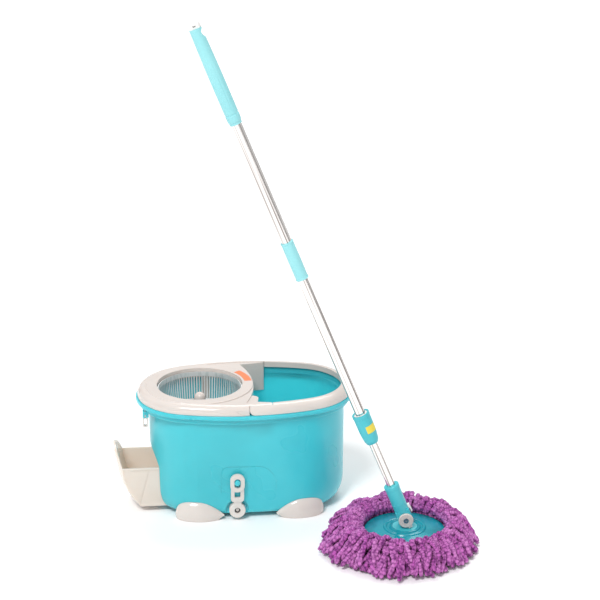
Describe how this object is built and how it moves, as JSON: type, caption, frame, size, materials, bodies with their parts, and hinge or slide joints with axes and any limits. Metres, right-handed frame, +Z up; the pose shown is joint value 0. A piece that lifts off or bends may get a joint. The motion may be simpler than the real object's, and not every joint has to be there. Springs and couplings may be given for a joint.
{
  "type": "spin mop set",
  "caption": "Oval bucket with a hand-press spin basket, carry handle, soap drawer and drain, and its telescopic mop with a round chenille head.",
  "frame": {"origin": "centre of the standing set's footprint, on the floor", "axes": "+Z up, +X along the bucket's length away from the spinner, -Y towards the mop and the drain plug"},
  "size_m": [0.721, 0.564, 1.0512],
  "materials": {
    "bucket_plastic": "satin injection moulded",
    "cream_plastic": "gloss injection moulded",
    "soft_cream": "soft satin",
    "white_plastic": "satin",
    "pale_aqua": "satin",
    "aqua_plastic": "satin",
    "teal_disc": "gloss, translucent",
    "chenille": "microfibre chenille",
    "tube_steel": "polished tube",
    "basket_steel": "pressed sheet",
    "steel": "plain",
    "orange_label": "satin film",
    "yellow_label": "satin film"
  },
  "bodies": {
    "bucket": {"bucket_shell": "bucket_plastic", "foot_front_left": "cream_plastic", "foot_front_right": "cream_plastic", "foot_back_left": "cream_plastic", "foot_back_right": "cream_plastic", "spinner_insert": "cream_plastic", "ring_inlay": "orange_label", "basket_spindle": "steel", "spindle_nut": "steel", "spindle_ring": "steel", "handle_pins": "steel", "clip_pin": "steel"},
    "carry_handle": {"carry_handle": "cream_plastic"},
    "basket": {"basket_wall": "basket_steel", "basket_base": "basket_steel", "basket_post": "cream_plastic", "post_cap": "cream_plastic", "post_screws": "steel", "spindle_bushes": "white_plastic"},
    "drawer": {"drawer": "cream_plastic"},
    "drain_plug": {"drain_plug": "soft_cream"},
    "side_clip": {"side_clip": "cream_plastic"},
    "pole": {"hang_cap": "white_plastic", "grip": "pale_aqua", "grip_collar": "pale_aqua", "upper_tube": "tube_steel", "tube_connector": "pale_aqua", "connector_spigot": "white_plastic", "outer_tube": "tube_steel", "sleeve_core": "white_plastic", "spiral_rod": "steel", "rod_anchor": "white_plastic"},
    "lock_sleeve": {"lock_sleeve": "aqua_plastic", "sleeve_label": "yellow_label"},
    "guide": {"guide_bush": "white_plastic"},
    "drive_nut": {"drive_nut": "white_plastic"},
    "lower_pole": {"inner_tube": "tube_steel", "clutch_cup": "white_plastic", "head_socket": "aqua_plastic", "lock_tongue": "white_plastic", "pivot_cap_front": "cream_plastic", "pivot_cap_back": "cream_plastic", "pivot_bolt": "steel", "pivot_nut": "steel"},
    "mop_head": {"hub_knuckle": "aqua_plastic", "mop_disc": "teal_disc", "strand_ring": "white_plastic", "mop_strands": "chenille"}
  },
  "joints": [
    {"name": "handle_fold", "type": "hinge", "parent": "bucket", "child": "carry_handle", "pos_m": [-0.0775, 0.145, 0.2475], "axis": [0, -1, 0], "range_deg": [0, 95]},
    {"name": "basket_spin", "type": "hinge", "parent": "bucket", "child": "basket", "pos_m": [-0.1815, 0.145, 0.2], "axis": [0, 0, 1], "continuous": true},
    {"name": "drawer_slide", "type": "slide", "parent": "bucket", "child": "drawer", "axis": [1, 0, 0], "range_m": [-0.012, 0.068]},
    {"name": "drain_plug_pull", "type": "slide", "parent": "bucket", "child": "drain_plug", "axis": [0, -1, 0], "range_m": [0, 0.014]},
    {"name": "clip_swing", "type": "hinge", "parent": "bucket", "child": "side_clip", "pos_m": [-0.294, 0.1015, 0.21], "axis": [0, 1, 0], "range_deg": [0, 80]},
    {"name": "mop_lift", "type": "slide", "parent": "bucket", "child": "pole", "axis": [0, 0, 1], "range_m": [0, 0.4]},
    {"name": "sleeve_twist", "type": "hinge", "parent": "pole", "child": "lock_sleeve", "pos_m": [0.12858, -0.125, 0.25344], "axis": [-0.3746, 0, 0.9272], "range_deg": [0, 60]},
    {"name": "pole_press", "type": "slide", "parent": "pole", "child": "guide", "axis": [-0.3746, 0, 0.9272], "range_m": [0, 0.09]},
    {"name": "nut_drive", "type": "hinge", "parent": "guide", "child": "drive_nut", "pos_m": [0.08363, -0.125, 0.3647], "axis": [-0.3746, 0, 0.9272], "range_deg": [-10, 370]},
    {"name": "head_spin", "type": "hinge", "parent": "guide", "child": "lower_pole", "pos_m": [0.16604, -0.125, 0.16072], "axis": [-0.3746, 0, 0.9272], "continuous": true},
    {"name": "head_tilt", "type": "hinge", "parent": "lower_pole", "child": "mop_head", "pos_m": [0.2035, -0.125, 0.068], "axis": [0, 1, 0], "range_deg": [-82, 38]}
  ],
  "couplings": [
    {"joint": "nut_drive", "follows": "pole_press", "rad_per_m": 69.813}
  ]
}
